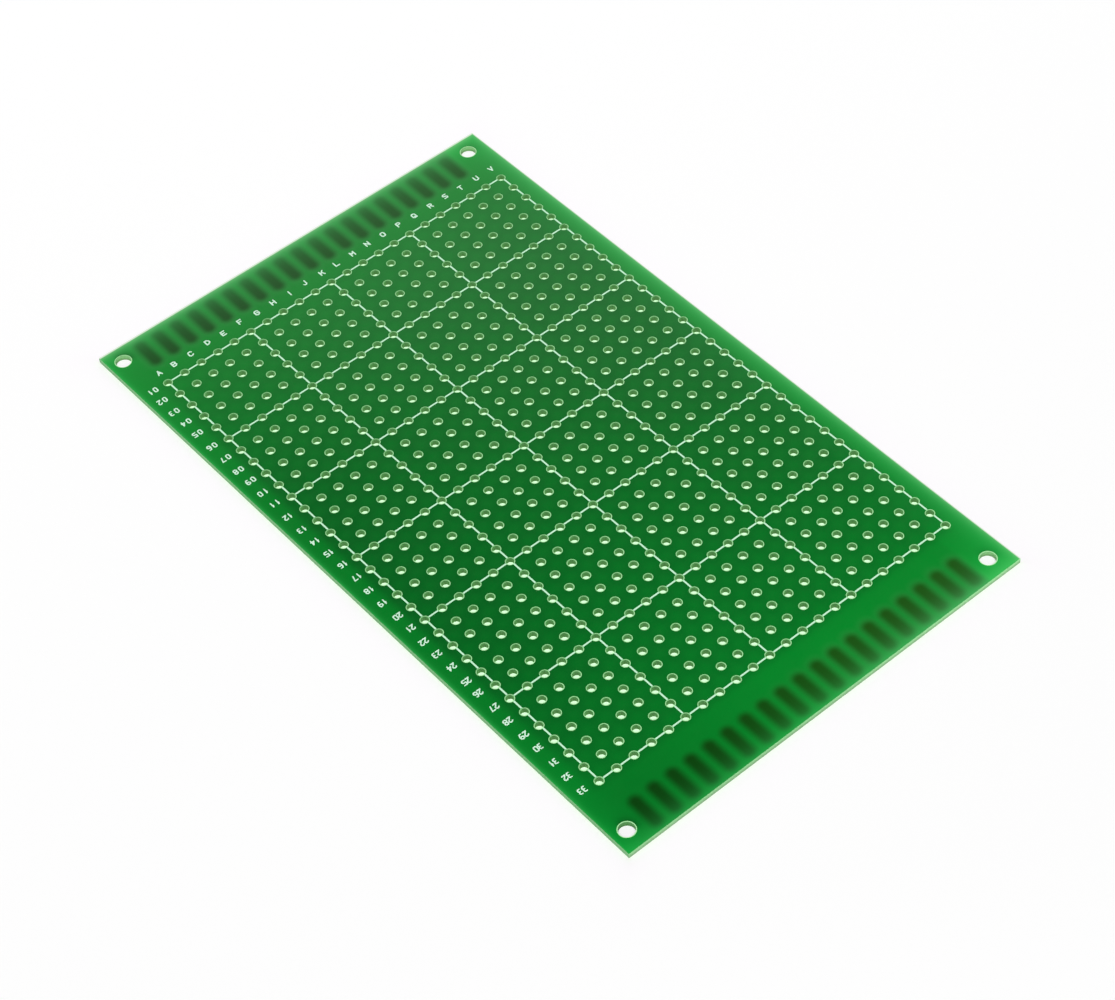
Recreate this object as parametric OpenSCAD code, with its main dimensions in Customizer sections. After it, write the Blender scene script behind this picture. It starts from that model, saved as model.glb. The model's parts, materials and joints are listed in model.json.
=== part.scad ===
// Prototype board: single-sided, component side up, with a legend of lettered
// columns and numbered rows and a row of edge contacts under each end.
// X runs along the lettered columns, Y towards the lettered end, Z is up.
// The origin is at the centre of the underside.

/* [Board] */
// Width of the board across its columns
board_w = 90; // [60:1:160]
// Length of the board along its rows
board_l = 150; // [80:1:240]
// Thickness of the bare laminate
core_t = 1.12; // [0.6:0.01:2.4]
// Thickness of the solder mask on each side
mask_t = 0.04; // [0.03:0.01:0.1]
// Gap between a copper land and the edge of the mask round it
mask_clearance = 0.05; // [0.02:0.01:0.15]

/* [Lead holes] */
// Spacing of the lead holes both ways
hole_pitch = 3.81; // [3.4:0.01:5.08]
// Drilled diameter of a lead hole
lead_hole_d = 1.5; // [0.8:0.1:1.8]
// Width of the bare ring that the mask leaves round a drilled hole
hole_rim = 0.16; // [0.05:0.01:0.25]
// Outer diameter of a tinned pad
pad_d = 3; // [2.2:0.1:3.2]
// From the left edge of the board to the first column
column_margin = 5.85; // [4.5:0.05:8]
// Least distance from the last column to the right edge
far_margin = 4; // [3:0.1:8]
// From the inner end of an edge contact to the nearest row
row_margin = 5.4; // [4:0.1:8]

/* [Mounting holes] */
// Diameter of a mounting hole
mount_d = 3; // [2.2:0.1:3.2]
// From the left edge to the left mounting holes
mount_left = 2.9; // [2.6:0.1:4.5]
// From the right edge to the right mounting holes
mount_right = 4.1; // [2.6:0.1:5]
// From each end of the board to its mounting holes
mount_end = 3.8; // [2.6:0.1:6]

/* [Edge contacts] */
// Spacing of the edge contacts
contact_pitch = 4.064; // [3.6:0.001:5.08]
// Width of an edge contact
contact_w = 2.54; // [1.5:0.01:2.8]
// Length of an edge contact, over its round ends
contact_l = 7.62; // [5:0.01:10]
// From the end of the board to the edge contacts
contact_inset = 1; // [0.5:0.1:2]
// Least width of board between a mounting hole and a contact
contact_web = 1.5; // [0.8:0.1:3]

/* [Legend] */
// Width of a ruled line
line_w = 0.32; // [0.2:0.02:0.8]
// Slip of the lines ruled along columns, to the right of their holes
legend_slip = 0.12; // [-0.3:0.01:0.3]
// Thickness of the ink
ink_t = 0.02; // [0.01:0.01:0.05]
// Gap between a ruled line and the bare ring of each hole that breaks it
line_gap = 0.01; // [0.01:0.01:0.3]
// Columns on which a line is ruled, besides the last
ruled_columns = [1, 6, 11, 16];
// Rows on which a line is ruled, besides the last
ruled_rows = [1, 6, 11, 16, 21, 27];

/* [Hidden] */

// Levels, from the underside up
core_z = mask_t;
top_mask_z = core_z + core_t;
ink_z = top_mask_z + mask_t;

// Mounting holes: left and right, front and rear
mount_x = [mount_left - board_w / 2, board_w / 2 - mount_right];
mount_y = [mount_end - board_l / 2, board_l / 2 - mount_end];
mount_mid_x = (mount_x[0] + mount_x[1]) / 2;

// Edge contacts fill the width between the mounting holes of an end
contact_side = mount_d / 2 + hole_rim + contact_web + contact_w / 2;
contact_room = mount_x[1] - mount_x[0] - 2 * contact_side;
contact_n = floor(contact_room / contact_pitch) + 1;
contact_y = board_l / 2 - contact_inset - contact_l / 2;

// Lead holes fill the board between its margins
column_room = board_w - column_margin - far_margin;
column_n = floor(column_room / hole_pitch) + 1;
row_room = board_l - 2 * (contact_inset + contact_l + row_margin);
row_n = floor(row_room / hole_pitch) + 1;

// Place of a column, counted from 1 at the left
function column_x(i) = column_margin - board_w / 2 + (i - 1) * hole_pitch;

// Place of a row, counted from 1 at the lettered end
function row_y(j) = ((row_n + 1) / 2 - j) * hole_pitch;

// Ruled columns and rows that the board has, with its last one
line_columns = concat([for (i = ruled_columns) if (i < column_n) i], column_n);
line_rows = concat([for (j = ruled_rows) if (j < row_n) j], row_n);

// Facets of a small and of a larger circle
small_fn = 32;
large_fn = 48;

// One of its children at every lead hole
module at_lead_holes() {
    for (i = [1 : column_n], j = [1 : row_n])
        translate([column_x(i), row_y(j)]) children();
}

// One of its children at every mounting hole
module at_mounts() {
    for (x = mount_x, y = mount_y)
        translate([x, y]) children();
}

// One of its children at every contact of the end on side -1 or 1
module at_contacts(side) {
    for (k = [0 : contact_n - 1])
        translate([mount_mid_x + (k - (contact_n - 1) / 2) * contact_pitch, side * contact_y])
            children();
}

// Outline of the board
module board_outline() {
    square([board_w, board_l], center = true);
}

// Outline of an edge contact, or of the mask opening a margin wider
module contact_outline(margin = 0) {
    width = contact_w + 2 * margin;
    square([width, contact_l - contact_w], center = true);
    for (side = [-1, 1])
        translate([0, side * (contact_l - contact_w) / 2]) circle(d = width, $fn = large_fn);
}

// The glass-filled laminate, drilled for the leads and the screws
module laminate() {
    color("#b9cf9a")
        translate([0, 0, core_z])
            linear_extrude(core_t)
                difference() {
                    board_outline();
                    at_lead_holes() circle(d = lead_hole_d, $fn = small_fn);
                    at_mounts() circle(d = mount_d, $fn = large_fn);
                }
}

// The mask on the component side, which leaves a bare ring round each hole
module component_mask() {
    color("#0f8a32")
        translate([0, 0, top_mask_z])
            linear_extrude(mask_t)
                difference() {
                    board_outline();
                    at_lead_holes() circle(d = lead_hole_d + 2 * hole_rim, $fn = small_fn);
                    at_mounts() circle(d = mount_d + 2 * hole_rim, $fn = large_fn);
                }
}

// The mask on the copper side, open at each pad, contact and screw hole
module solder_mask() {
    color("#0c7a2c")
        linear_extrude(mask_t)
            difference() {
                board_outline();
                at_lead_holes() circle(d = pad_d + 2 * mask_clearance, $fn = small_fn);
                at_mounts() circle(d = mount_d + 2 * hole_rim, $fn = large_fn);
                for (side = [-1, 1])
                    at_contacts(side) contact_outline(mask_clearance);
            }
}

// The tinned pads on the underside, one round each lead hole
module lead_pads() {
    color("#c9ccc8")
        at_lead_holes()
            linear_extrude(mask_t)
                difference() {
                    circle(d = pad_d, $fn = small_fn);
                    circle(d = lead_hole_d, $fn = small_fn);
                }
}

// The tinned contacts under the end on side -1 or 1
module edge_contacts(side) {
    color("#c9ccc8")
        at_contacts(side)
            linear_extrude(mask_t) contact_outline();
}

// The contacts under the end with the last row
module front_contacts() {
    edge_contacts(-1);
}

// The contacts under the lettered end
module rear_contacts() {
    edge_contacts(1);
}

// A line ruled along X from one hole to the last of n holes, broken round each of them
module ruled_line(n, slip) {
    linear_extrude(ink_t)
        difference() {
            translate([0, slip - line_w / 2]) square([(n - 1) * hole_pitch, line_w]);
            for (k = [0 : n - 1])
                translate([k * hole_pitch, 0])
                    circle(d = lead_hole_d + 2 * (hole_rim + line_gap), $fn = small_fn);
        }
}

// The lines ruled along rows
module row_lines() {
    color("white")
        for (j = line_rows)
            translate([column_x(1), row_y(j), ink_z]) ruled_line(column_n, 0);
}

// The lines ruled along columns
module column_lines() {
    color("white")
        for (i = line_columns)
            translate([column_x(i), row_y(1), ink_z]) rotate(-90) ruled_line(row_n, legend_slip);
}

laminate();
component_mask();
solder_mask();
lead_pads();
front_contacts();
rear_contacts();
row_lines();
column_lines();
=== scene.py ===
"""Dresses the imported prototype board.

The green mask, the cut laminate, the tin and the printed ink get their finishes here. The
tinned pads and edge contacts get their crowned solder, and the columns and rows get their
letters and numbers. Lengths on the board are in millimetres until they are multiplied by MM,
and the studio's are in metres. Right is +X, the rear is +Y and the front is -Y.
"""

import json
import math
import random

import bmesh
import bpy
from mathutils import Matrix, Quaternion, Vector


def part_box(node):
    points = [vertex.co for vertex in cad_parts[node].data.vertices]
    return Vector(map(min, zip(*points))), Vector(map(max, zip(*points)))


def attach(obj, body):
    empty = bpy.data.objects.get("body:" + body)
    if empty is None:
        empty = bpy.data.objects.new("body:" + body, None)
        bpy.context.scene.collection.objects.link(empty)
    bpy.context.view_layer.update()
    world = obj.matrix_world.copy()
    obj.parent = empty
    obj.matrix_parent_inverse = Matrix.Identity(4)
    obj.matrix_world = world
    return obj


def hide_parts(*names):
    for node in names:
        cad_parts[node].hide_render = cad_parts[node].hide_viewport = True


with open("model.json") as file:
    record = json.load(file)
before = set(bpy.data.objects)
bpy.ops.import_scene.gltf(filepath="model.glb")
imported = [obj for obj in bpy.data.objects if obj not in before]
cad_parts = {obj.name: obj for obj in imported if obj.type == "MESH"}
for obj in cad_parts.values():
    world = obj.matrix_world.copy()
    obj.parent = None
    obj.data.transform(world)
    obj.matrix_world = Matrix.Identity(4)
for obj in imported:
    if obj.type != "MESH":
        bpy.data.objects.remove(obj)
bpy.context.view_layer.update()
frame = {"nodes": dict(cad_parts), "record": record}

MM = 0.001
COLUMN_LETTERS = "ABCDEFGHIJKLMNOPQRSTUV"
ROW_COUNT = 33
PAD_RADIUS = 1.5
LEAD_HOLE_RADIUS = 0.75
MOUNT_OPENING_RADIUS = 1.66
CONTACT_COUNT = 19
CONTACT_WIDTH = 2.54

# The solder of a pad from its hole outwards, as radius and height, and how far its crest slips
TIN_HEIGHT = 0.04
PAD_PROFILE = ((LEAD_HOLE_RADIUS, TIN_HEIGHT), (LEAD_HOLE_RADIUS + 0.03, 0.01), (1.12, 0),
               (PAD_RADIUS - 0.05, 0.012), (PAD_RADIUS, TIN_HEIGHT))
PAD_CREST_SLIP = 0.08
# The solder of a contact: its upright side, then how far each ring of the crown moves in and down
CONTACT_SIDE = 0.026
CONTACT_CROWN = ((0.12, 0.008), (0.3, 0.005), (0.4, 0.001))
CONTACT_SEGMENTS = 24

# Width and height of a letter or digit, and the width and height of its strokes
LETTER_SIZE, LETTER_STROKE = (0.76, 1.04), 0.31
DIGIT_SIZE, DIGIT_STROKE = (0.6, 1.04), 0.28
INK_HEIGHT = 0.02
# The usual place of the letters behind the first row, and of the numbers beside the first column
LETTERS_BEHIND = 3.3
NUMBERS_LEFT, NUMBERS_BEHIND = 3.17, 0.4
# The digits of the first rows stand further apart than the rest
LOOSE_ROWS, LOOSE_ADVANCE, TIGHT_ADVANCE = 11, 1.16, 0.88

# Letters and digits as pen strokes on a grid 4 wide and 6 high, two digits a point
GRID_WIDE, GRID_HIGH = 4, 6
STROKES = {
    "A": ("00 26 40", "12 32"),
    "B": ("00 06 36 45 44 33 03", "33 42 41 30 00"),
    "C": ("45 36 16 05 01 10 30 41",),
    "D": ("00 06 26 44 42 20 00",),
    "E": ("46 06 00 40", "03 33"),
    "F": ("46 06 00", "03 33"),
    "G": ("45 36 16 05 01 10 30 41 43 23",),
    "H": ("06 00", "46 40", "03 43"),
    "I": ("26 20",),
    "J": ("36 31 20 10 01",),
    "K": ("06 00", "46 02", "24 40"),
    "L": ("06 00 40",),
    "M": ("00 06 23 46 40",),
    "N": ("00 06 40 46",),
    "O": ("16 36 45 41 30 10 01 05 16",),
    "P": ("00 06 36 45 44 33 03",),
    "Q": ("16 36 45 41 30 10 01 05 16", "22 40"),
    "R": ("00 06 36 45 44 33 03", "23 40"),
    "S": ("46 16 05 04 13 33 42 41 30 00",),
    "T": ("06 46", "26 20"),
    "U": ("06 01 10 30 41 46",),
    "V": ("06 20 46",),
    "0": ("16 36 45 41 30 10 01 05 16",),
    "1": ("14 26 20",),
    "2": ("05 16 36 45 44 00 40",),
    "3": ("16 36 45 44 33 23", "33 42 41 30 10"),
    "4": ("30 36 02 42",),
    "5": ("46 06 03 33 42 41 30 00",),
    "6": ("36 16 04 01 10 30 41 42 33 03",),
    "7": ("06 46 20",),
    "8": ("13 04 05 16 36 45 44 33 13 02 01 10 30 41 42 33",),
    "9": ("10 30 42 45 36 16 05 04 13 43",),
}

# The legend was laid out by hand: how far each letter sits right of and behind its usual place
LETTER_SLIPS = (
    (0.2, -0.15), (-0.25, -0.2), (-0.25, -0.2), (0, 0.05), (-0.25, -0.1), (0, 0.2),
    (-0.05, -0.1), (0, 0), (0, -0.2), (0, 0.05), (0.15, -0.1), (-0.15, -0.05), (0, 0),
    (-0.1, 0.2), (-0.1, 0.15), (0, 0.2), (-0.1, 0.05), (0.15, 0.05), (0.1, 0.15),
    (0, -0.1), (0.15, -0.05), (0.15, 0),
)
# ... and how far each number does
NUMBER_SLIPS = (
    (-0.15, -0.3), (-0.3, 0.3), (-0.3, 0.35), (-0.2, 0.55), (-0.25, 0.7), (-0.2, 0.1),
    (-0.05, -0.1), (-0.1, -0.25), (0.05, 0.05), (0, 0.1), (0, 0.35), (-0.15, 0.1),
    (-0.1, -0.2), (-0.05, -0.1), (0.1, -0.1), (0.3, -0.05), (0.4, -0.15), (0.15, -0.1),
    (0.1, -0.15), (0.25, -0.45), (0.2, -0.2), (0.05, -0.2), (0.05, 0), (0.15, -0.05),
    (0.05, -0.3), (-0.05, 0.25), (0.05, -0.05), (-0.1, 0), (0, -0.2), (0.15, 0.05),
    (0.05, -0.15), (-0.1, 0), (-0.05, 0.05),
)


# ---------------------------------------------------------------- places on the board

def box_mm(node):
    """The low and the high corner of a node, in millimetres."""
    low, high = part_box(node)
    return low / MM, high / MM


pads_low, pads_high = box_mm("lead_pads")
contacts_low, contacts_high = box_mm("rear_contacts")
board_low, board_high = box_mm("laminate")
mask_top = box_mm("component_mask")[1].z

FIRST_COLUMN = pads_low.x + PAD_RADIUS
FIRST_ROW = pads_high.y - PAD_RADIUS
PITCH = (pads_high.x - pads_low.x - 2 * PAD_RADIUS) / (len(COLUMN_LETTERS) - 1)
MOUNTS = next(mount for mount in frame["record"]["mounts"] if mount["name"] == "mounting_holes")
MOUNT_SPAN_X = MOUNTS["dims"]["spacing_x_mm"]
MOUNT_SPAN_Y = MOUNTS["dims"]["spacing_y_mm"]
MOUNT_X = MOUNTS["pos_m"][0] / MM + MOUNT_SPAN_X / 2
MOUNT_Y = MOUNTS["pos_m"][1] / MM + MOUNT_SPAN_Y / 2
# The mounting holes lie further than this from the middle of the board's length
MOUNTS_BEYOND = (pads_high.y + MOUNT_Y) / 2
FIRST_CONTACT = contacts_low.x + CONTACT_WIDTH / 2
CONTACT_PITCH = (contacts_high.x - contacts_low.x - CONTACT_WIDTH) / (CONTACT_COUNT - 1)
CONTACT_Y = (contacts_low.y + contacts_high.y) / 2
CONTACT_STRAIGHT = contacts_high.y - contacts_low.y - CONTACT_WIDTH


def column_x(index):
    return FIRST_COLUMN + index * PITCH


def row_y(index):
    return FIRST_ROW - index * PITCH


# ---------------------------------------------------------------- colours

def tone(red, green, blue):
    return (red, green, blue, 1)


# The mask over bare laminate, in painted shade over the tin below, and painted where a cut lets
# light in
GREEN = tone(0.0004, 0.238, 0.0215)
GREEN_SHADED_OVER_PADS = tone(0.001, 0.072, 0.0105)
# Each set of contacts gets painted shade of its own, darkest to the left, lightest at the front
# right
GREEN_SHADED_OVER_LEFT_CONTACTS = tone(0.003, 0.067, 0.0035)
GREEN_SHADED_OVER_RIGHT_CONTACTS = tone(0.011, 0.088, 0.005)
GREEN_SHADED_OVER_FAR_CONTACTS = tone(0, 0.077, 0)
GREEN_NEAR_CUT = tone(0.05, 0.63, 0.13)
# Painted light at the corners
GREEN_LIT_AT_CORNERS = tone(0.004, 0.62, 0.07)
# A painted highlight along the right and the rear cuts
HIGHLIGHT_AT_FAR_CUT = tone(0.9, 1, 0.84)
# The laminate low and high on each kind of cut wall, and in the bare ring round a hole
LEAD_WALL = tone(0.115, 0.33, 0.08), tone(0.15, 0.46, 0.135)
SCREW_WALL = tone(0.2, 0.44, 0.16), tone(0.31, 0.7, 0.28)
SCREW_WALL_SHADED = tone(0, 0.2, 0)
LONG_SIDE = tone(0.22, 0.51, 0.22), tone(0.26, 0.65, 0.27)
SHORT_SIDE = tone(0.29, 0.54, 0.26), tone(0.38, 0.84, 0.37)
# Painted shade on the far side of the bare ring, and the ring's own pale colour
RING_SHADED, RING_PALE = tone(0.1, 0.45, 0.11), tone(0.5, 0.98, 0.48)
# Tin and ink
TIN_BRIGHT, TIN_FROSTED = tone(0.62, 0.62, 0.6), tone(0.86, 0.86, 0.84)
TIN_STAINED = tone(0.55, 0.52, 0.46)
LINE_WHITE, LABEL_WHITE = tone(0.62, 1, 0.71), tone(0.7, 1, 0.79)
THIN_WHITE = tone(0.35, 0.86, 0.42)
# White paper, and the board's light and shade painted on it beside and below
WHITE = tone(1, 1, 1)
PAPER_GLOW_BY_BOARD = tone(1, 0.82, 1.02)
PAPER_GREEN_SHADE_BY_FRONT_AND_LEFT = tone(0.6, 0.86, 0.4)
PAPER_GREEN_LIGHT_UNDER_LEAD_HOLES = tone(0.365, 1.63, 0.317)

# The tin of the copper side shades the green this far to the left and to the front of itself
SHADE_LEFT, SHADE_FRONT = 0.3, 0.45
# Directions on the board: to the far wall of a hole, and away from the light
FAR_X, FAR_Y = 0.59, 0.81
DIM_X, DIM_Y = 0.75, 0.66


# ---------------------------------------------------------------- recipes

class Amount:
    """A socket of a recipe that plain sums can be written on."""

    def __init__(self, recipe, socket):
        self.recipe, self.socket = recipe, socket

    def beside(self, name):
        """Another output of the node that this one comes from."""
        return Amount(self.recipe, self.socket.node.outputs[name])

    def worked(self, operation, *terms):
        return self.recipe.node("ShaderNodeMath", {"operation": operation},
                                dict(enumerate(terms)))

    def __add__(self, other):
        return self.worked("ADD", self, other)

    def __radd__(self, other):
        return self.worked("ADD", other, self)

    def __sub__(self, other):
        return self.worked("SUBTRACT", self, other)

    def __rsub__(self, other):
        return self.worked("SUBTRACT", other, self)

    def __mul__(self, other):
        return self.worked("MULTIPLY", self, other)

    def __rmul__(self, other):
        return self.worked("MULTIPLY", other, self)

    def __truediv__(self, other):
        return self.worked("DIVIDE", self, other)

    def __abs__(self):
        return self.worked("ABSOLUTE", self)

    def at_least(self, other):
        return self.worked("MAXIMUM", self, other)

    def at_most(self, other):
        return self.worked("MINIMUM", self, other)

    def cosine(self):
        return self.worked("COSINE", self)

    def rounded(self):
        return self.worked("ROUND", self)

    def root(self):
        return self.worked("SQRT", self)

    def fading(self):
        """e to the power of minus this amount."""
        return self.worked("POWER", math.exp(-1), self)

    def step(self, start, end):
        """A soft step, 0 at start and 1 at end."""
        return self.recipe.node("ShaderNodeMapRange", {"interpolation_type": "SMOOTHSTEP"},
                                {"Value": self, "From Min": start, "From Max": end})


class Recipe:
    """A node tree that is put together step by step."""

    def __init__(self, tree):
        self.tree = tree

    def node(self, kind, settings, sockets, output=0):
        """Adds a node: first its settings, then the values or links of its sockets."""
        made = self.tree.nodes.new(kind)
        for name, value in settings.items():
            setattr(made, name, value)
        for socket, value in sockets.items():
            if isinstance(value, Amount):
                self.tree.links.new(value.socket, made.inputs[socket])
            else:
                made.inputs[socket].default_value = value
        return Amount(self, made.outputs[output])

    def split(self, point):
        x = self.node("ShaderNodeSeparateXYZ", {}, {0: point}, "X")
        return x, x.beside("Y"), x.beside("Z")

    def mix(self, share, first, second):
        return self.node("ShaderNodeMix", {"data_type": "RGBA"},
                         {0: share, 6: first, 7: second}, 2)


class Finish(Recipe):
    """A material, with the board's own millimetres to place its patterns."""

    def __init__(self, name, **constants):
        self.material = bpy.data.materials.new(name)
        self.material.use_nodes = True
        super().__init__(self.material.node_tree)
        self.shader = self.tree.nodes["Principled BSDF"]
        for socket, value in constants.items():
            self.shader.inputs[socket.replace("_", " ")].default_value = value

    def place(self, stretch=(1, 1, 1)):
        """The point on the board in millimetres, with each direction stretched."""
        point = self.node("ShaderNodeTexCoord", {}, {}, "Object")
        return self.node("ShaderNodeVectorMath", {"operation": "MULTIPLY"},
                         {0: point, 1: [share / MM for share in stretch]})

    def mottle(self, size, detail=2, stretch=(1, 1, 1), roughness=0.5):
        """Noise from 0 to 1 whose spots are about this many millimetres across."""
        return self.node("ShaderNodeTexNoise", {},
                         {"Vector": self.place(stretch), "Scale": 1 / size,
                          "Detail": detail, "Roughness": roughness})

    def scaled(self, colour, amount):
        return self.node("ShaderNodeVectorMath", {"operation": "SCALE"},
                         {0: colour, "Scale": amount})

    def relief(self, height, depth):
        """Bump of this height pattern, depth millimetres deep."""
        return self.node("ShaderNodeBump", {}, {"Height": height, "Distance": depth * MM},
                         "Normal")

    def wear(self, **varying):
        """Feeds the shader's own sockets, and gives the material."""
        for socket, value in varying.items():
            self.tree.links.new(value.socket, self.shader.inputs[socket.replace("_", " ")])
        return self.material


# ---------------------------------------------------------------- green mask

def past_nearest(place, first, pitch):
    """How far a place is past the nearest of evenly spaced places."""
    return place - ((place - first) / pitch).rounded() * pitch - first


def to_sides(x, y):
    """How far a point lies inside the left, the front, the right and the rear side."""
    return x - board_low.x, y - board_low.y, board_high.x - x, board_high.y - y


def past_contact(x, y):
    """How far a point lies outside the nearest edge contact."""
    count = ((x - FIRST_CONTACT) / CONTACT_PITCH).rounded()
    nearest = count.at_least(0).at_most(CONTACT_COUNT - 1) * CONTACT_PITCH + FIRST_CONTACT
    across = x - nearest
    along = (abs(abs(y) - CONTACT_Y) - CONTACT_STRAIGHT / 2).at_least(0)
    return (across * across + along * along).root() - CONTACT_WIDTH / 2


def pad_shadow(x, y):
    """How dark the green is over the field of pads, seen blurred through the laminate."""
    middle_x = (pads_low.x + pads_high.x) / 2
    middle_y = (pads_low.y + pads_high.y) / 2
    outside_x = abs(x + 0.5 - middle_x) - (pads_high.x - middle_x)
    outside_y = abs(y - 0.35 - middle_y) - (pads_high.y - middle_y)
    turns = 2 * math.pi / PITCH
    ripple = ((x - FIRST_COLUMN) * turns).cosine() + ((y - FIRST_ROW) * turns).cosine()
    rear_light = ((pads_high.y - y) / 22).at_least(0).fading() * 0.4
    front_light = ((y - pads_low.y) / 27).at_least(0).fading() * 0.31
    depth = 0.57 - rear_light - front_light + 0.06 * ripple
    return depth * outside_x.step(0.9, -1.4) * outside_y.step(0.9, -1.4)


def mount_shadow(x, y):
    """How dark the green is beside a mounting hole, on the side away from the light."""
    past_x = past_nearest(x, MOUNT_X, MOUNT_SPAN_X)
    past_y = past_nearest(y, MOUNT_Y, MOUNT_SPAN_Y)
    reach = (past_x * past_x + past_y * past_y).root()
    away = ((past_x * DIM_X + past_y * DIM_Y) / reach).step(-0.1, 0.8)
    close = ((reach - MOUNT_OPENING_RADIUS) / 0.8).fading().at_most(1)
    return close * away * (0.48 - 0.2 * x.step(-40, 40))


def green_in_tin_shade(finish, x, y, over_contact):
    """The mask's own green, darkened over the pads and contacts below: they show through, their
    shade is painted.
    """
    green = finish.mix(pad_shadow(x + SHADE_LEFT, y + SHADE_FRONT), GREEN, GREEN_SHADED_OVER_PADS)
    # Painted shade of its own over the left, the front right and the rear right contacts
    right_contacts = finish.mix(y.step(-20, 20), GREEN_SHADED_OVER_RIGHT_CONTACTS,
                                GREEN_SHADED_OVER_FAR_CONTACTS)
    contacts = finish.mix(x.step(-35, 30), GREEN_SHADED_OVER_LEFT_CONTACTS, right_contacts)
    return finish.mix(over_contact, green, contacts)


def fullness_and_shade(finish, x, y):
    """How full the green is: glass cloth, clouds in the mask, and painted shade and light to the
    left and front.
    """
    cloth = finish.mottle(0.55, 1, (1, 1, 0))
    cloud = finish.mottle(9, 3)
    # Painted shade to the left and at the front left, and painted light at the front right
    left = 0.13 * x.step(-5, -40) * y.step(45, 15)
    front = y.step(-58, -66) * (0.1 - 0.2 * x.step(10, -40))
    return (0.9 + 0.08 * cloth + 0.12 * cloud) * ((1 - left) * (1 + front))


def lit_by_cuts(finish, green, x, y, over_contact):
    """Painted light: the green lit up by the cut sides, and most of all at the corners."""
    to_left, to_front, to_right, to_rear = to_sides(x, y)
    nearest = (to_left * 4.2).at_most(to_front).at_most(to_right).at_most(to_rear)
    right_or_front = x.step(-30, 20).at_least(y.step(-70, -60))
    narrow = (nearest / 1.6).fading() * (0.32 + 0.13 * right_or_front)
    wide = (to_right.at_most(to_rear) / 3).fading() * 0.2
    green = finish.mix(narrow + wide, green, GREEN_NEAR_CUT)
    to_end = to_front.at_most(to_rear)
    past_contacts = x.step(contacts_high.x - 0.4, contacts_high.x + 0.9)
    right_corner = (to_end / 4.5).fading() * past_contacts * (0.62 - 0.12 * y.step(0, 60))
    left_corner = (to_left / 4 + to_end / 12).fading() * (1 - 0.8 * over_contact)
    left_corner = left_corner * (0.36 - 0.08 * y.step(0, 60))
    return finish.mix(right_corner + left_corner, green, GREEN_LIT_AT_CORNERS)


def far_cut_highlight(x, y):
    """A painted highlight: how pale the green is in a narrow rim along the right and the rear
    side.
    """
    to_left, to_front, to_right, to_rear = to_sides(x, y)
    rim = to_right.step(0.32, 0.08).at_least(to_rear.step(0.54, 0.2)) * 0.9
    soft = ((to_right / 0.5).fading() * 0.14).at_least((to_rear / 0.6).fading() * 0.26)
    return rim.at_least(soft)


def painted_glow(x, y, past_tin):
    """Painted light that pales the green beside the contacts and along the right of the front
    side.
    """
    beside_tin = past_tin.step(1.8, 0.4) * past_tin.step(-0.7, 0.3)
    beside_tin = beside_tin * y.step(-50, 50).at_least(x.step(-15, 10))
    by_front = ((y - board_low.y) / 2).fading() * x.step(-10, 40)
    return beside_tin * 0.007 + by_front * 0.04


def component_side_green():
    finish = Finish("component_side_green", IOR=1.5)
    x, y, z = finish.split(finish.place())
    past_tin = past_contact(x + SHADE_LEFT, y + SHADE_FRONT)
    over_contact = past_tin.step(0.9, -0.95)
    # The green in painted shade over the tin below
    green = green_in_tin_shade(finish, x, y, over_contact)
    # Cloth and clouds, with painted shade and light to the left and front
    green = finish.scaled(green, fullness_and_shade(finish, x, y))
    green = lit_by_cuts(finish, green, x, y, over_contact)
    green = finish.scaled(green, 1 - mount_shadow(x, y))
    # A painted highlight along the right and the rear cuts
    green = finish.mix(far_cut_highlight(x, y), green, HIGHLIGHT_AT_FAR_CUT)
    # Painted light beside the contacts and along the front
    green = finish.mix(painted_glow(x, y, past_tin), green, WHITE)
    skin = finish.mottle(0.8, 2) * 0.7 + finish.mottle(0.18, 1) * 0.3
    return finish.wear(Base_Color=green, Roughness=0.15 + 0.08 * finish.mottle(2.5, 3),
                       Normal=finish.relief(skin, 0.006))


def copper_side_green():
    finish = Finish("copper_side_green", IOR=1.5)
    x, y, z = finish.split(finish.place())
    to_cut = (board_high.x - abs(x)).at_most(board_high.y - abs(y))
    # Painted light near the cuts, where light comes into the laminate
    green = finish.mix((to_cut / 1.2).fading() * 0.3, GREEN, GREEN_NEAR_CUT)
    green = finish.scaled(green, 0.72 + 0.1 * finish.mottle(0.55, 1) + 0.2 * finish.mottle(7, 3))
    skin = finish.mottle(1.2, 2) * 0.8 + finish.mottle(0.2, 1) * 0.2
    return finish.wear(Base_Color=green, Roughness=0.26 + 0.12 * finish.mottle(2, 3),
                       Normal=finish.relief(skin, 0.01))


# ---------------------------------------------------------------- laminate, tin and ink

def round_hole(x, y, by_mount):
    """Which way a point lies from the middle of its hole: towards the far wall, and across."""
    past_x = past_nearest(x, FIRST_COLUMN, PITCH) * (1 - by_mount) \
        + past_nearest(x, MOUNT_X, MOUNT_SPAN_X) * by_mount
    past_y = past_nearest(y, FIRST_ROW, PITCH) * (1 - by_mount) \
        + past_nearest(y, MOUNT_Y, MOUNT_SPAN_Y) * by_mount
    reach = (past_x * past_x + past_y * past_y).root()
    return (past_x * FAR_X + past_y * FAR_Y) / reach, (past_x * FAR_Y - past_y * FAR_X) / reach


def hole_wall(finish, x, y, z, by_mount, across):
    """The drilled wall of a lead hole or of a mounting hole."""
    wall = finish.mix(z.step(0.35, 0.95), *LEAD_WALL)
    # Painted shade and light: darker at the middle of the far and near walls, lighter across them
    wall = finish.scaled(wall, 0.82 + (0.7 * across - 0.12) * across)
    screw_wall = finish.mix(z.step(0.3, 0.8), *SCREW_WALL)
    shaded = 0.62 * x.step(0, -40) * y.step(0, -60)
    return finish.mix(by_mount, wall, finish.mix(shaded, screw_wall, SCREW_WALL_SHADED))


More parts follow.
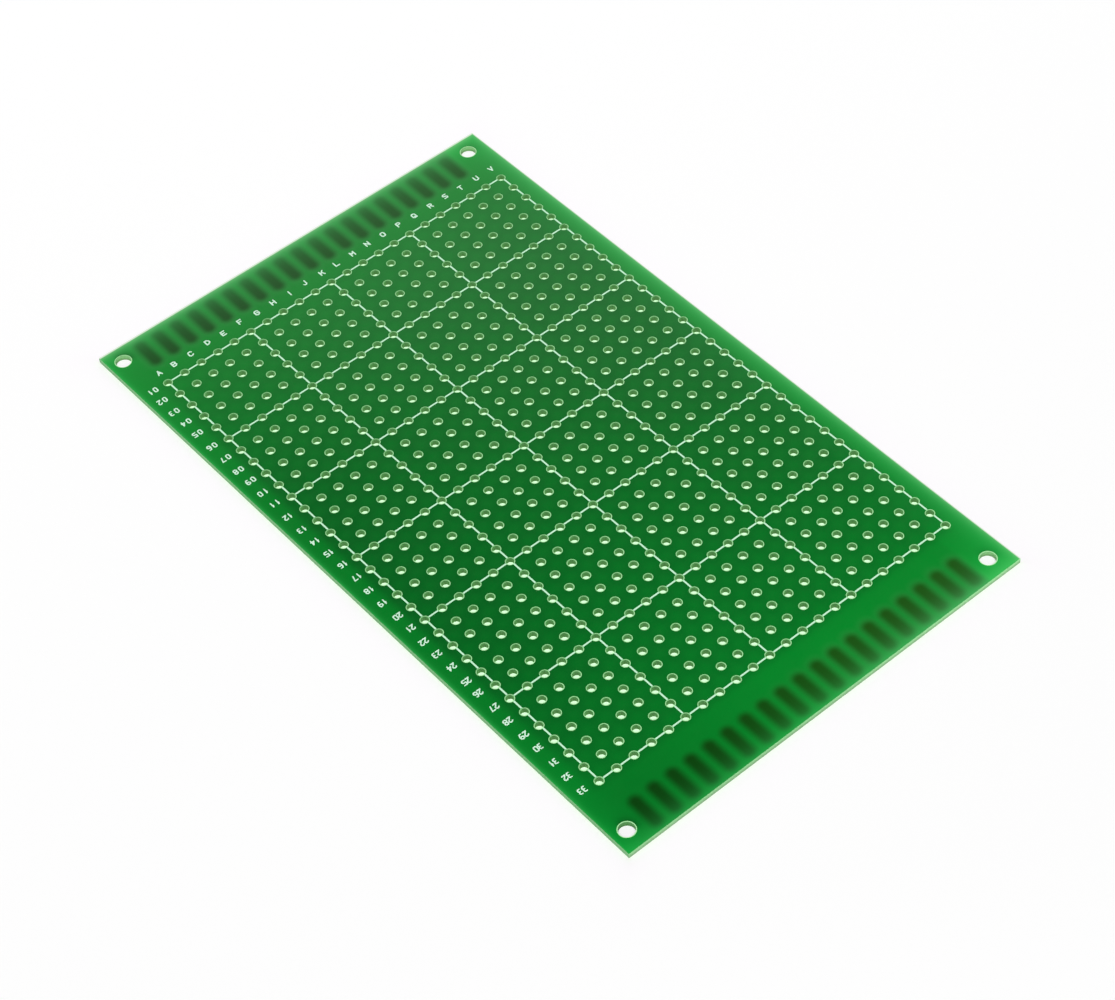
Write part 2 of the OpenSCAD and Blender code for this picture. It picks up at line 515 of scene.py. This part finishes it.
def with_sides(finish, wall, x, y, z):
    """The wall of the holes, with the board's own sides where a point lies on one of them."""
    long_side = finish.mix(z.step(0.3, 0.8), *LONG_SIDE)
    short_side = finish.mix(z.step(0.3, 0.8), *SHORT_SIDE)
    # Painted light: the front and rear sides lighter towards the right
    short_side = finish.scaled(short_side, 0.97 + 0.16 * x.step(-20, 40))
    wall = finish.mix((abs(x) - board_high.x).step(-0.05, -0.01), wall, long_side)
    return finish.mix((abs(y) - board_high.y).step(-0.05, -0.01), wall, short_side)


def bare_ring(finish, y, by_mount, far, across):
    """The laminate's upper face, which shows in the ring that the mask leaves round a hole."""
    # Painted light and shade: the ring paler to the right, darker on its far side, lighter to the
    # front
    pale = 0.58 + 0.1 * across + 0.2 * finish.mottle(0.12, 2) + 0.3 * by_mount \
        - far * (0.18 - 0.11 * y.step(20, -60))
    ring = finish.mix(pale, RING_SHADED, RING_PALE)
    return finish.scaled(ring, 0.93 + 0.08 * y.step(60, -60))


def cut_laminate():
    finish = Finish("cut_laminate", IOR=1.5)
    x, y, z = finish.split(finish.place())
    by_mount = abs(y).step(MOUNTS_BEYOND - 0.1, MOUNTS_BEYOND + 0.1)
    far, across = round_hole(x, y, by_mount)
    wall = hole_wall(finish, x, y, z, by_mount, across)
    wall = with_sides(finish, wall, x, y, z)
    plies = finish.mottle(0.09, 2, (0.12, 0.12, 1))
    fibres = finish.mottle(0.05, 2, (1, 1, 0.4))
    wall = finish.scaled(wall, 0.72 + 0.34 * plies + 0.22 * fibres)
    ring = bare_ring(finish, y, by_mount, far, across)
    colour = finish.mix(z.step(board_high.z - 0.03, board_high.z - 0.01), wall, ring)
    return finish.wear(Base_Color=colour, Roughness=0.55 + 0.25 * fibres,
                       Normal=finish.relief(plies * 0.5 + fibres * 0.5, 0.02))


def levelled_tin():
    finish = Finish("levelled_tin", IOR=1.5, Metallic=1.0)
    frost = finish.mottle(0.5, 3, roughness=0.6)
    grain = finish.mottle(0.12, 3)
    colour = finish.mix(frost, TIN_BRIGHT, TIN_FROSTED)
    colour = finish.mix(finish.mottle(3, 3).step(0.55, 0.8) * 0.35, colour, TIN_STAINED)
    return finish.wear(Base_Color=colour, Roughness=0.2 + 0.3 * frost,
                       Normal=finish.relief(frost * 0.7 + grain * 0.3, 0.012))


def printed_ink(name, full):
    finish = Finish(name, IOR=1.5)
    thin = finish.mottle(0.16, 2).step(0.58, 0.8) * 0.35
    grain = finish.mottle(0.06, 2)
    return finish.wear(Base_Color=finish.mix(thin, full, THIN_WHITE),
                       Roughness=0.5 + 0.2 * grain, Normal=finish.relief(grain, 0.004))


# ---------------------------------------------------------------- pieces

def piece(name, shape, finish, slot, *stands_for):
    """Makes a shape an object that rides on the board."""
    mesh = bpy.data.meshes.new(name)
    shape.to_mesh(mesh)
    shape.free()
    mesh.polygons.foreach_set("use_smooth", [True] * len(mesh.polygons))
    made = bpy.data.objects.new(name, mesh)
    bpy.context.scene.collection.objects.link(made)
    mesh.materials.append(finish)
    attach(made, "root")
    if stands_for:
        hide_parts(*stands_for)


def stamp(shape, part, matrix):
    """Adds a copy of a part to a shape, placed by the matrix. The part stays as it is."""
    mesh = bpy.data.meshes.new("part")
    part.to_mesh(mesh)
    mesh.transform(matrix)
    shape.from_mesh(mesh)
    bpy.data.meshes.remove(mesh)


def pad_shape():
    """One tinned pad: a ring of solder that swells down from the board."""
    shape = bmesh.new()
    points = [shape.verts.new((radius * MM, 0, height * MM)) for radius, height in PAD_PROFILE]
    edges = [shape.edges.new((points[k - 1], points[k])) for k in range(len(points))]
    bmesh.ops.spin(shape, geom=points + edges, cent=(0, 0, 0), axis=(0, 0, 1),
                   angle=2 * math.pi, steps=20, use_merge=True)
    crest = [vert for vert in shape.verts if vert.co.z < 0.005 * MM]
    bmesh.ops.translate(shape, vec=(PAD_CREST_SLIP * MM, 0, 0), verts=crest)
    bmesh.ops.recalc_face_normals(shape, faces=shape.faces)
    return shape


def tinned_pads(finish):
    """All the pads, each with its crest slipped its own way."""
    pad = pad_shape()
    shape = bmesh.new()
    draw = random.Random(7)
    for column in range(len(COLUMN_LETTERS)):
        for row in range(ROW_COUNT):
            turn = Matrix.Rotation(draw.uniform(0, 2 * math.pi), 4, "Z")
            place = Matrix.Translation((column_x(column) * MM, row_y(row) * MM, 0))
            stamp(shape, pad, place @ turn)
    pad.free()
    piece("lead_pad_tin", shape, finish, "tinned_copper", "lead_pads")


def contact_shape():
    """One edge contact: an oblong of solder with a crowned face."""
    shape = bmesh.new()
    half_segment = math.pi / CONTACT_SEGMENTS
    verts = bmesh.ops.create_circle(
        shape, cap_ends=True, radius=CONTACT_WIDTH / 2 * MM, segments=CONTACT_SEGMENTS,
        matrix=Matrix.Rotation(half_segment, 4, "Z"))["verts"]
    bmesh.ops.scale(shape, vec=(1 / math.cos(half_segment), 1, 1), verts=verts)
    for vert in verts:
        vert.co.y += math.copysign(CONTACT_STRAIGHT / 2 * MM, vert.co.y)
    bmesh.ops.translate(shape, vec=(0, 0, TIN_HEIGHT * MM), verts=verts)
    down = bmesh.ops.extrude_face_region(shape, geom=shape.faces[:], use_keep_orig=True)["geom"]
    crown = [part for part in down if isinstance(part, bmesh.types.BMFace)]
    fall = [part for part in down if isinstance(part, bmesh.types.BMVert)]
    bmesh.ops.translate(shape, vec=(0, 0, -CONTACT_SIDE * MM), verts=fall)
    for inset, drop in CONTACT_CROWN:
        bmesh.ops.inset_region(shape, faces=crown, thickness=inset * MM, use_even_offset=True)
        bmesh.ops.translate(shape, vec=(0, 0, -drop * MM),
                            verts=list({vert for face in crown for vert in face.verts}))
    bmesh.ops.recalc_face_normals(shape, faces=shape.faces)
    return shape


def contact_tin(name, node, side, finish):
    """The tinned contacts of the end on side -1 or 1."""
    contact = contact_shape()
    shape = bmesh.new()
    for count in range(CONTACT_COUNT):
        place = Vector((FIRST_CONTACT + count * CONTACT_PITCH, side * CONTACT_Y, 0))
        stamp(shape, contact, Matrix.Translation(place * MM))
    contact.free()
    piece(name, shape, finish, "tinned_copper", node)


def ink_stroke(start, end, width):
    """A stroke of ink from start to end: a low bead with round ends."""
    stroke = bmesh.new()
    bmesh.ops.create_uvsphere(stroke, u_segments=8, v_segments=6, radius=width / 2,
                              matrix=Matrix.Rotation(math.pi / 2, 4, "Y"))
    run = end - start
    for vert in stroke.verts:
        vert.co.x += math.copysign(run.length / 2, vert.co.x)
        vert.co.z *= 2 * INK_HEIGHT / width
    turn = Matrix.Rotation(math.atan2(run.y, run.x), 4, "Z")
    middle = (start + end) / 2
    bmesh.ops.transform(stroke, matrix=Matrix.Translation((middle.x, middle.y, 0)) @ turn,
                        verts=stroke.verts)
    return stroke


def ink_sign(sign, size, width):
    """One letter or digit in ink, with its middle at the origin, in millimetres."""
    wide, high = size
    shape = bmesh.new()
    for line in STROKES[sign]:
        points = [Vector(((int(x) / GRID_WIDE - 0.5) * wide, (int(y) / GRID_HIGH - 0.5) * high))
                  for x, y in line.split()]
        for start, end in zip(points, points[1:]):
            stroke = ink_stroke(start, end, width)
            stamp(shape, stroke, Matrix())
            stroke.free()
    return shape


def print_label(sheet, signs, text, x, y, turned=False, advance=0):
    """Stamps a label on a sheet, its middle at x and y, turned half round if asked."""
    place = Matrix.Translation((x, y, mask_top))
    if turned:
        place = place @ Matrix.Rotation(math.pi, 4, "Z")
    for count, sign in enumerate(text):
        shift = (count - (len(text) - 1) / 2) * advance
        stamp(sheet, signs[sign], Matrix.Scale(MM, 4) @ place @ Matrix.Translation((shift, 0, 0)))


def column_letters(finish):
    sheet = bmesh.new()
    signs = {sign: ink_sign(sign, LETTER_SIZE, LETTER_STROKE) for sign in COLUMN_LETTERS}
    for index, letter in enumerate(COLUMN_LETTERS):
        right, behind = LETTER_SLIPS[index]
        print_label(sheet, signs, letter, column_x(index) + right,
                    FIRST_ROW + LETTERS_BEHIND + behind)
    piece("column_letters", sheet, finish, "white_ink")


def row_numbers(finish):
    sheet = bmesh.new()
    signs = {sign: ink_sign(sign, DIGIT_SIZE, DIGIT_STROKE) for sign in "0123456789"}
    for index in range(ROW_COUNT):
        right, behind = NUMBER_SLIPS[index]
        print_label(sheet, signs, f"{index + 1:02}", FIRST_COLUMN - NUMBERS_LEFT + right,
                    row_y(index) + NUMBERS_BEHIND + behind, turned=True,
                    advance=LOOSE_ADVANCE if index < LOOSE_ROWS else TIGHT_ADVANCE)
    piece("row_numbers", sheet, finish, "white_ink")


def dress(node, finish):
    """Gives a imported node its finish."""
    slots = frame["nodes"][node].data.materials
    slots.clear()
    slots.append(finish)


# ---------------------------------------------------------------- studio

def camera():
    made = bpy.data.objects.new("camera", bpy.data.cameras.new("camera"))
    bpy.context.scene.collection.objects.link(made)
    made.data.sensor_width = 36
    made.data.lens = 93.84
    made.data.shift_x = -0.05
    made.location = (-0.20562, -0.28026, 0.39066)
    aim = Vector((0.00227, -0.01692, 0.00118))
    look = (aim - made.location).to_track_quat("-Z", "Y")
    made.rotation_mode = "QUATERNION"
    made.rotation_quaternion = look @ Quaternion((0, 0, 1), math.radians(-3.637))
    bpy.context.scene.camera = made


def softbox(name, heading, elevation, distance, wide, high, radiance):
    """A square of light that faces the board. Heading is from +X, in degrees."""
    turn, climb = math.radians(heading), math.radians(elevation)
    away = Vector((math.cos(turn) * math.cos(climb), math.sin(turn) * math.cos(climb),
                   math.sin(climb)))
    light = bpy.data.lights.new(name, "AREA")
    light.shape = "RECTANGLE"
    light.size, light.size_y = wide, high
    light.energy = radiance * math.pi * wide * high
    made = bpy.data.objects.new(name, light)
    made.location = away * distance
    made.rotation_mode = "QUATERNION"
    made.rotation_quaternion = (-away).to_track_quat("-Z", "Y")
    bpy.context.scene.collection.objects.link(made)


def looks(recipe):
    """1 for the rays that look at the room, straight or through glass, and 1 for mirror rays."""
    straight = recipe.node("ShaderNodeLightPath", {}, {}, "Is Camera Ray")
    return straight.at_least(straight.beside("Is Transmission Ray")), \
        straight.beside("Is Glossy Ray")


def white_room():
    """The room: white to look at, bright low down in mirrors, and a dim fill for the rest."""
    world = bpy.data.worlds.new("studio")
    bpy.context.scene.world = world
    world.use_nodes = True
    room = Recipe(world.node_tree)
    seen, mirrored = looks(room)
    x, y, z = room.split(room.node("ShaderNodeTexCoord", {}, {}, "Generated"))
    level = mirrored * (0.02 + 0.98 * z.step(0.5, 0)) + (1 - mirrored) * 0.2
    back = world.node_tree.nodes["Background"]
    back.inputs["Color"].default_value = WHITE
    world.node_tree.links.new((seen + (1 - seen) * level).socket, back.inputs["Strength"])


def white_paper():
    """Matt paper that glows a little to look at, so that it is white right up to the board."""
    material = bpy.data.materials.new("white_paper")
    material.use_nodes = True
    paper = Recipe(material.node_tree)
    paper.tree.nodes.remove(paper.tree.nodes["Principled BSDF"])
    seen, mirrored = looks(paper)
    x, y, z = paper.split(paper.node("ShaderNodeTexCoord", {}, {}, "Object"))
    glow = (0.25 + x * 0.1 + y * 0.18).at_least(0.23).at_most(0.29)
    x, y = x / MM, y / MM
    beside = (abs(x) - board_high.x).at_least(abs(y) - board_high.y)
    near_side = (board_low.x - x).at_least(board_low.y - y).step(-0.1, 0.1)
    # The paper's glow is painted less green close to the board and under its ends
    tint = paper.mix((beside / 3).at_least(0).fading(), WHITE, PAPER_GLOW_BY_BOARD)
    # Painted green-tinted shade just off the front and the left side
    spill = (beside / 0.5).at_least(0).fading() * near_side
    tint = paper.mix(spill, tint, PAPER_GREEN_SHADE_BY_FRONT_AND_LEFT)
    # Painted green light under the lead holes, seen through them
    below = paper.mix(abs(y).step(MOUNTS_BEYOND + 0.5, MOUNTS_BEYOND - 0.5), PAPER_GLOW_BY_BOARD,
                      PAPER_GREEN_LIGHT_UNDER_LEAD_HOLES)
    tint = paper.mix(beside.step(0.4, -0.8), tint, below)
    shine = paper.node("ShaderNodeEmission", {},
                       {"Color": tint, "Strength": seen.at_least(mirrored) * glow})
    matt = paper.node("ShaderNodeBsdfDiffuse", {}, {"Color": (0.8, 0.8, 0.8, 1)})
    both = paper.node("ShaderNodeAddShader", {}, {0: matt, 1: shine})
    paper.tree.links.new(both.socket, paper.tree.nodes["Material Output"].inputs["Surface"])
    return material


def paper_floor():
    shape = bmesh.new()
    bmesh.ops.create_grid(shape, x_segments=1, y_segments=1, size=4)
    mesh = bpy.data.meshes.new("floor")
    shape.to_mesh(mesh)
    shape.free()
    mesh.materials.append(white_paper())
    floor = bpy.data.objects.new("floor", mesh)
    bpy.context.scene.collection.objects.link(floor)


camera()
bpy.context.scene.view_settings.view_transform = "Standard"
white_room()
paper_floor()
softbox("key", heading=233, elevation=62, distance=3, wide=1.5, high=1.5, radiance=10.6)
softbox("far_box", heading=48, elevation=26.5, distance=0.82, wide=0.7, high=0.56, radiance=0.57)

tin = levelled_tin()
line_ink = printed_ink("line_ink", LINE_WHITE)
label_ink = printed_ink("label_ink", LABEL_WHITE)
dress("laminate", cut_laminate())
dress("component_mask", component_side_green())
dress("solder_mask", copper_side_green())
dress("row_lines", line_ink)
dress("column_lines", line_ink)
tinned_pads(tin)
contact_tin("front_contact_tin", "front_contacts", -1, tin)
contact_tin("rear_contact_tin", "rear_contacts", 1, tin)
column_letters(label_ink)
row_numbers(label_ink)
